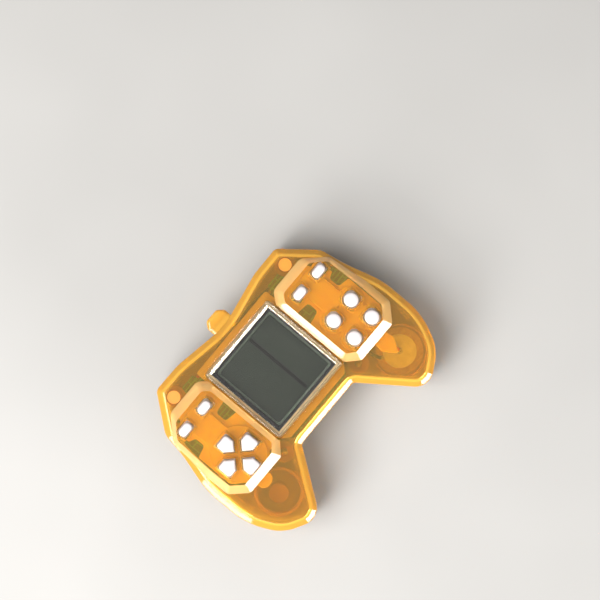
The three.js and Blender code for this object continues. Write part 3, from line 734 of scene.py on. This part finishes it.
def rear_cover():
    """Rear shell: skin, then the battery pocket, bosses and ring walls, then every hole through it."""
    turns = [math.pi / 2 * i / 6 for i in range(7)]
    skin = stack(CASE, [(3.0 * (1 - math.cos(t)), 2.4 * (1 - math.sin(t))) for t in turns]
                 + [(REAR_RIM_Z - 0.1, 0), (REAR_RIM_Z, 0.1)])
    skin.data.materials.append(CLEAR_ORANGE)
    hollow = stack(CASE, [(1.5 + 1.5 * (1 - math.cos(t)), 1.5 + 1.5 * (1 - math.sin(t))) for t in turns[::2]]
                   + [(8.0, 1.5)])
    body = cut(skin, hollow)
    join(body, plate(inset(DOOR, -0.9), 1.0, 2.3), plate(inset(POCKET, -0.9), 1.0, 8.2, 0.2))
    # The boss and locating post tops, the stiffening ring and the buzzer wall get the painted glow.
    bosses = [with_painted_glow(rod(at, BOSS_RADIUS, 1.0, REAR_RIM_Z), *TOP_ONLY) for at in CASE_SCREWS.values()]
    locating_post = with_painted_glow(rod(LOCATING_POST, LOCATING_RADIUS, 1.0, REAR_RIM_Z), *TOP_ONLY)
    stiffening_ring = with_painted_glow(tube(LOCATING_POST, 5.7, 4.9, 1.0, 6.4), *EVERY_SLOPE)
    buzzer_seat = tube(BUZZER, 5.4, 4.6, 1.0, 2.4, 0.05)
    buzzer_wall = with_painted_glow(tube(BUZZER, 6.4, 5.8, 1.0, 4.6), *EVERY_SLOPE)
    cut(buzzer_wall, block((15.0, -12.2, 2.4), (18.0, -9.0, 5)))
    join(body, *bosses, rod(DOOR_SCREW, 2.0, 1.5, REAR_RIM_Z), locating_post, stiffening_ring, buzzer_seat,
         buzzer_wall)
    cut(body, stack(inset(DOOR, -0.2), [(-1, -0.15), (0, -0.15), (0.15, 0), (1.3, 0)]),
        stack(POCKET, [(0.5, 0), (7.3, 0), (7.5, 0.2)]), block((-2.8, -5.2, 2.35), (2.8, -3.2, 3.2)),
        rod(DOOR_SCREW, PILOT_RADIUS, 0.5, 5.6),
        *[block((x - 1.1, 8.4, 7.0), (x + 1.1, 10.0, 7.5)) for x in (-CELL_X, CELL_X)])
    head_ways = [turned((*at, 0), [
        (0, -1), (HEAD_WAY_RADIUS, -1), (HEAD_WAY_RADIUS, 0), (1.8, 0.15),
        (1.8, 3.4), (0.9, 3.4), (0.9, 8), (0, 8)]) for at in CASE_SCREWS.values()]
    return cut(body, *head_ways)


def battery_door():
    """Door with a hook at its lower end, finger grooves, and a sunk seat for its screw."""
    door = plate(DOOR, 0, 1.2, 0.25)
    hook = join(block((-2.5, -3.2, 1.0), (2.5, -2.5, 3.0)), block((-2.5, -4.9, 2.45), (2.5, -2.6, 3.0)))
    grips = [plate(rectangle(0, y, 9.0, 0.7, 0.34), -0.5, 0.28, arc=4) for y in (-0.6, 0.8, 2.2)]
    seat = turned((*DOOR_SCREW, 0), [
        (0, -1), (HEAD_WAY_RADIUS, -1), (HEAD_WAY_RADIUS, 0), (1.75, 0.2), (1.75, 0.75), (0, 0.75)])
    return cut(join(door, hook), *grips, rod(DOOR_SCREW, 0.85, 0, 3), seat)


finish("front_cover", front_cover(), CLEAR_ORANGE, replaces=["front_shell"])
finish("rear_cover", rear_cover(), CLEAR_ORANGE, replaces=["rear_shell"])
finish("battery_cover", battery_door(), CLEAR_ORANGE, replaces=["battery_door"])


# ---- Screen.

def screen_lens():
    """A window with a raised rim round a sunk flat."""
    outline = rectangle(*LENS, LENS_SIDE, LENS_SIDE, 0.7)
    lens = stack(outline, [(12.4, 0.08), (12.48, 0), (14.55, 0), (14.66, 0.05), (14.7, 0.16)])
    return cut(lens, stack(outline, [(14.1, 1.0), (14.14, 0.95), (14.62, 0.4), (14.68, 0.31), (14.9, 0.22)]))


def screen_frame():
    """A flange on the board that boxes in the glass, with a collar up to the window."""
    flange = plate(both_sides(HOLDER_FLANGE_HALF), 9.3, 11.3, 0.12)
    body = join(flange, plate(rectangle(*LENS, 21.9, 21.9, 0.5), 11.0, 12.3, 0.12))
    return cut(body, plate(rectangle(*LENS, 20.7, 20.7, 0.4), 11.0, 13),
               plate(rectangle(*DISPLAY, 20.1, 21.4, 0.3), 9, 11.0))


def gasket():
    body = plate(rectangle(*LENS, 20.5, 20.5, 0.4), 11.0, 12.3, 0.08)
    return cut(body, stack(rectangle(*SCREEN, 18.5, 18.5, 0.5), [(10, 0), (12.1, 0), (12.4, -0.15)]))


finish("lens", screen_lens(), CLEAR_ACRYLIC, replaces=["screen_window"])
finish("display_frame", screen_frame(), NYLON, replaces=["screen_holder"])
finish("display_gasket", gasket(), GASKET_BLACK, replaces=["screen_gasket"])
finish("polariser", plate(rectangle(*SCREEN, 17.5, 17.5, 0.6), 10.75, 10.9, 0.03), POLARISER,
       replaces=["lcd_polariser"])
finish("front_glass", plate(rectangle(*DISPLAY, 19.8, 21.1, 0.12), 10.15, 10.7, 0.05), DISPLAY_GLASS,
       replaces=["lcd_front_glass"])
finish("rear_glass", plate(rectangle(*SCREEN, 19.8, 19.8, 0.12), 9.55, 10.1, 0.05), DISPLAY_GLASS,
       replaces=["lcd_rear_glass"])
finish("reflector", plate(rectangle(*SCREEN, 19.2, 19.2, 0.12), 9.3, 9.5, 0.03), SILVER_FILM,
       replaces=["lcd_reflector"])
finish("zebra_contact", block((-9.4, -6.15, 9.25), (9.4, -5.05, 10.1), 0.08), ZEBRA,
       replaces=["zebra_strip"])


# ---- Keys, and the rubber mats with a dome under each key.

def key_cap(shape):
    """Stem, flange under the panel, and the white top with its soft crown."""
    stem = [(10.15, 0.45), (10.2, 0.4), (FLANGE_Z, 0.4)]
    flange = [(FLANGE_Z, -0.4), (FLANGE_Z + 0.1, -0.5), (13.0, -0.5), (13.1, -0.4)]
    crown = [(13.1, 0), (15.0, 0), (15.19, 0.04), (15.35, 0.15), (15.45, 0.32), (KEY_Z, 0.72)]
    return stack(shape, stem + flange + crown, 6)


def dome(shape):
    """A rubber skirt from the mat up to the key's flange, open round the stem."""
    skirt = stack(shape, [(MAT_TOP_Z - 0.02, -0.72), (11.35, -0.6), (11.6, -0.38), (12.0, -0.22),
                          (12.2, -0.18), (FLANGE_Z - 0.02, -0.1)], 5)
    return cut(skirt, stack(shape, [(10.5, 0.25), (13, 0.25)], 5))


def key_mat(side, pads, tab):
    """Raised pads and a rib up to the pill keys on a thin sheet, with a tab and holes for the keys' stems."""
    x = side * PAD_X
    upper = [(MAT_Z, 0.05), (MAT_Z + 0.05, 0), *fillet(MAT_TOP_Z - 0.3, 0, 0.3, 3)]
    body = stack(rectangle(x, PILL_Y, 11.6, 4.0, 1.8), upper)
    web = plate(WEB if side > 0 else mirrored(WEB), MAT_Z, MAT_Z + WEB_THICKNESS, 0.08)
    join(body, web, stack(rectangle(x, 7.0, 6.0, 8.0, 0.3), upper), *[stack(pad, upper) for pad in pads],
         stack(tab, [(MAT_Z, 0.05), (MAT_Z + 0.05, 0), *fillet(MAT_Z + 0.9, 0, 0.3, 3)]))
    return cut(body, *[plate(inset(shape, 0.15), MAT_Z - 1, MAT_TOP_Z + 1, arc=4) for shape in KEYS.values()
                       if shape[0][0] * side > 0])


for name, shape in KEYS.items():
    finish(name.replace("_key", "_cap"), key_cap(shape), KEY_WHITE, follows=name + "_body", replaces=[name])
    skirt = finish(name.replace("_key", "_dome"), dome(shape), SILICONE, follows=None)
    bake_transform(skirt)

left_pads = [disc((-PAD_X, PAD_Y), 6.6)]
left_tab = rectangle(-20.7, -8.7, 3.9, 5.0, 1.7)
right_pads = [disc((PAD_X + column * ROUND_KEY_STEP, PAD_Y + row * ROUND_KEY_STEP), 3.15)
              for column, row in ((-1, 1), (1, 1), (1, -1), (-1, -1))]
right_pads.append(rectangle(PAD_X, PAD_Y, 8, 8, 0.5))
right_tab = [(20.7, -14.4, 0.6), (22.9, -11.2, 1.6), (22.3, -7.0, 0.4), (19.1, -7.0, 0.4), (18.5, -11.2, 1.6)]
finish("left_mat", key_mat(-1, left_pads, left_tab), SILICONE, replaces=["left_key_mat"])
finish("right_mat", key_mat(1, right_pads, right_tab), SILICONE, replaces=["right_key_mat"])


# ---- Board and its parts.

def drop(at, radius, height, down=False):
    """A small frozen blob of solder."""
    z = at[2]
    way = -1 if down else 1
    turns = [math.pi / 2 * i / 4 for i in range(5)]
    profile = [(0, z)] + [(radius * math.cos(t), z + way * height * math.sin(t)) for t in turns]
    return turned((at[0], at[1], 0), profile, 14)


finish("circuit_board", plate(both_sides(BOARD_HALF), BOARD_Z, BOARD_TOP_Z, 0.05), BOARD_GREEN,
       replaces=["main_board"])
chip = turned((18.5, 5.0, 0), [
    (0, 6.98), (0.9, 7.0), (1.8, 7.1), (2.6, 7.28), (3.2, 7.52), (3.6, 7.8),
    (3.85, 8.08), (3.98, 8.3), (3.9, 8.36), (0, 8.36)])
finish("bonded_chip", chip, EPOXY, replaces=["chip_blob"])

can = turned(CAPACITOR_AT, [
    (0, -3), (1.7, -3), (1.92, -2.9), (2, -2.7), (2, 1.9), (1.94, 2.1), (1.82, 2.2),
    (1.94, 2.3), (2, 2.5), (2, 2.7), (1.92, 2.92), (1.7, 3), (0, 3)], along_x=True)
finish("capacitor", can, CAP_SLEEVE, replaces=["board_capacitor"])
can_leads = [swept([(-23.0, y, 6.2), (-23.5, y, 6.3), (-24.0, y, 7.0), (-24.0, y, LEAD_END_Z)], 0.22)
             for y in (5.7, 7.3)]
finish("capacitor_leads", together(can_leads), ZINC)

clay = turned(RESISTOR_AT, [
    (0, -1.8), (0.5, -1.78), (0.85, -1.6), (1.0, -1.3), (0.98, -1.0), (0.82, -0.75),
    (0.8, 0.75), (0.98, 1.0), (1.0, 1.3), (0.85, 1.6), (0.5, 1.78), (0, 1.8)], 32, True)
finish("resistor", clay, RESISTOR_PAINT, replaces=["board_resistor"])


def resistor_lead(side):
    x, y, z = RESISTOR_AT
    return swept([(x + side * 1.75, y, z), (x + side * 2.6, y, z), (x + side * 3.0, y, 7.6),
                  (x + side * 3.0, y, LEAD_END_Z)], 0.25)


finish("resistor_leads", together([resistor_lead(-1), resistor_lead(1)]), ZINC)

# Joints of the leads and wires, then a row beside the chip and one by the left pill keys.
joints = [(-24.0, 5.7), (-24.0, 7.3), (-22.5, -1.5), (-16.5, -1.5), (-15.5, 16.7), (15.3, 17.3),
          (18.9, -6.4), (17.1, -6.4)]
joints += [(13.6 + 1.3 * i, 1.0 - 0.4 * (i % 2)) for i in range(7)]
joints += [(-13.8 - 1.5 * i, 13.2) for i in range(5)]
finish("solder_joints", together([drop((x, y, BOARD_Z + 0.02), 0.55, 0.42, down=True) for x, y in joints]),
       SOLDER)


# ---- Power and sound.

def button_cell(x, cap_up):
    """Can with its rolled edge over a grey seal, and the smaller cap."""
    turns = [math.pi / 2 * i / 4 for i in range(5)]
    profile = [(0, 0), (5.3, 0)]
    profile += [(5.5 + 0.3 * math.sin(t), 0.3 * (1 - math.cos(t))) for t in turns]
    profile += [(5.8, 4.6), (5.7, 4.85), (5.45, 5.0), (5.2, 5.05), (5.05, 5.0), (4.6, 4.98), (4.55, 5.1),
                (4.5, 5.3), (4.35, CELL_HEIGHT), (0, CELL_HEIGHT)]
    placed = [(r, CELL_Z + z) if cap_up else (r, CELL_Z + CELL_HEIGHT - z) for r, z in profile]
    return turned((x, CELL_Y, 0), placed, 64)


finish("cell_left", button_cell(-CELL_X, True), NICKEL, replaces=["battery_cell_left"])
finish("cell_right", button_cell(CELL_X, False), NICKEL, replaces=["battery_cell_right"])


def contact(x):
    """A stamped strip over the cell, and a narrow tab where the wire is soldered."""
    strip = plate(rectangle(x, CELL_Y, 6, 5, 0.8), 7.15, 7.4, 0.05)
    tab = plate(rectangle(x, 7.4, 1.6, 6.8, 0.3), 7.15, 7.4, 0.05)
    return join(strip, tab)


for name, x in (("negative", -CELL_X), ("positive", CELL_X)):
    finish("contact_" + name, contact(x), SPRING, replaces=["battery_contact_" + name])
bridge = plate(rectangle(0, CELL_Y, 17.2, 4.0, 1.2), 1.35, 1.6, 0.05)
finish("cell_bridge", bridge, SPRING, replaces=["battery_bridge"])
brass_disc = turned((*BUZZER, 0), [
    (0, 2.45), (5.45, 2.45), (5.5, 2.5), (5.5, 2.6), (5.45, 2.65), (0, 2.65)], 64)
finish("sounder_disc", brass_disc, BRASS, replaces=["buzzer_disc"])
ceramic_disc = turned((*BUZZER, 0), [
    (0, 2.7), (3.8, 2.7), (3.9, 2.74), (3.9, 2.86), (3.84, 2.9), (3.3, 2.9), (3.28, 2.93), (0, 2.93)], 56)
finish("sounder_ceramic", ceramic_disc, CERAMIC, replaces=["buzzer_ceramic"])


# ---- Screws.

def screw(at, head, tip):
    """Pan head with a cross recess, and a thread of even ridges."""
    profile = [(0, head), (0.9, head), (1.25, head + 0.06), (1.5, head + 0.2), (1.6, head + 0.38),
               (1.6, head + 0.6), (0.55, head + 0.6), (0.55, head + 0.9)]
    pitch = 0.45
    ridges = int((tip - 0.7 - head - 0.9) / pitch)
    for i in range(ridges):
        z = head + 0.9 + pitch * i
        profile += [(0.5, z + 0.05), (0.65, z + 0.22), (0.5, z + 0.4)]
    profile += [(0.45, tip - 0.6), (0, tip)]
    body = turned((*at, 0), profile, 28)
    recess = [block((at[0] - w, at[1] - h, head - 0.5), (at[0] + w, at[1] + h, head + 0.34))
              for w, h in ((0.85, 0.16), (0.16, 0.85))]
    return cut(body, join(*recess))


for name, at in CASE_SCREWS.items():
    finish(name.replace("case_screw", "screw"), screw(at, 2.75, 10.0), ZINC, replaces=[name])
finish("door_screw", screw(DOOR_SCREW, 0.1, 5.0), ZINC, replaces=["battery_door_screw"])


# ---- Wires, each along its route to its solder.

WIRES = {
    "battery_wire_red": [(6.1, 11.3, 7.3), (6.6, 14.0, 7.6), (4.5, 16.8, 7.9), (0, 17.3, 7.95),
                         (-7, 17.3, 7.95), (-12, 17.2, 7.95), (-14.8, 16.7, 7.95)],
    "battery_wire_black": [(-6.1, 11.3, 7.3), (-7.4, 14.3, 6.9), (-7.0, 17.0, 6.8), (-4.2, 18.1, 7.2),
                           (3, 18.15, 7.7), (10, 18.15, 7.9), (14.6, 17.3, 7.95)],
    "buzzer_wire_red": [(18.9, -6.4, 7.9), (19.4, -8.6, 6.4), (20.6, -10.6, 4.4), (21.4, -12.6, 3.5),
                        (21.3, -14.3, 3.4)],
    "buzzer_wire_black": [(17.1, -6.4, 7.9), (16.6, -8.4, 6.2), (16.6, -10.0, 4.2), (16.9, -11.1, 3.4),
                          (17.3, -12.2, 3.15)],
}
for name, route in WIRES.items():
    red = name.endswith("red")
    sleeve, slot = (RED_SLEEVE, "red_wire_sleeve") if red else (BLACK_SLEEVE, "black_wire_sleeve")
    wire = swept(route, WIRE_RADIUS, 3, 8)
    finish(name.replace("_wire", "_lead"), wire, sleeve, replaces=[name])
wire_ends = [drop((21.3, -14.4, 2.92), 0.75, 0.5), drop((17.4, -12.3, 2.64), 0.6, 0.4),
             drop((-CELL_X, 10.6, 7.38), 0.75, 0.4), drop((CELL_X, 10.6, 7.38), 0.75, 0.4)]
finish("sounder_solder", together(wire_ends), SOLDER)


# ---- Stage: a pale floor, soft boxes below the game, on its left and high up, and the camera straight above.

MIDDLE = (0, 0, 8)  # the middle of the game, where the soft boxes aim
SENSOR_MM = 36
FLOOR_GAP = 0.0002  # the floor lies this far under the game, in metres


def stage_floor():
    made, tree, place = begin("pale_paper_sweep")
    shade = mixed(tree, patches(tree, place, 60.0, 0.3, 0.7), "#9c9a97", "#a2a09d")
    surfaced(made, tree, {"Base Color": shade, "Roughness": 0.8})
    bm = bmesh.new()
    bmesh.ops.create_grid(bm, x_segments=1, y_segments=1, size=2.0)
    bmesh.ops.translate(bm, verts=bm.verts, vec=(0, 0, -FLOOR_GAP))
    floor = as_body(bm)
    floor.name = "floor"
    floor.data.materials.append(made)


def soft_box(name, place_mm, size_mm, watts):
    lamp = bpy.data.lights.new(name, "AREA")
    lamp.shape = "RECTANGLE"
    lamp.size, lamp.size_y = (side * MM for side in size_mm)
    lamp.energy = watts
    holder = bpy.data.objects.new(name, lamp)
    scene.collection.objects.link(holder)
    holder.location = Vector(place_mm) * MM
    holder.rotation_euler = (Vector(MIDDLE) - Vector(place_mm)).to_track_quat("-Z", "Y").to_euler()


def ambient(code, strength):
    world = bpy.data.worlds.new("studio")
    world.use_nodes = True
    world.node_tree.nodes.clear()
    sky = node(world.node_tree, "Background", {"Color": srgb(code), "Strength": strength})
    node(world.node_tree, "OutputWorld", {"Surface": sky.outputs[0]})
    scene.world = world


def camera_above(aim_mm, turn_deg, height_mm, width_mm):
    """Looks straight down; width_mm is what it sees across at the case's middle height."""
    lens = bpy.data.cameras.new("camera")
    lens.sensor_width = SENSOR_MM
    lens.lens = SENSOR_MM * (height_mm - MIDDLE[2]) / width_mm
    lens.clip_start, lens.clip_end = 0.01, 10
    camera = bpy.data.objects.new("camera", lens)
    scene.collection.objects.link(camera)
    camera.location = (aim_mm[0] * MM, aim_mm[1] * MM, height_mm * MM)
    camera.rotation_euler = (0, 0, math.radians(turn_deg))
    scene.camera = camera


stage_floor()
soft_box("box_below", (0, -394, 78), (320, 80), 2.0)
soft_box("box_left_high", (-346, 15, 208), (210, 100), 1.4)
soft_box("box_left_low", (-394, -20, 48), (200, 50), 0.5)
soft_box("box_high", (-300, 140, 505), (460, 460), 5.8)
ambient("#f4f2ee", 0.45)
camera_above((15.6, 10.5), -50, 600, 136.36)

scene.view_settings.view_transform = "Standard"
scene.view_settings.gamma = 1.12
scene.cycles.use_denoising = True
scene.cycles.max_bounces = 20
scene.cycles.transmission_bounces = 20
scene.cycles.glossy_bounces = 6
scene.cycles.diffuse_bounces = 5
scene.cycles.transparent_max_bounces = 16
scene.cycles.caustics_reflective = False
scene.cycles.sample_clamp_indirect = 20.0
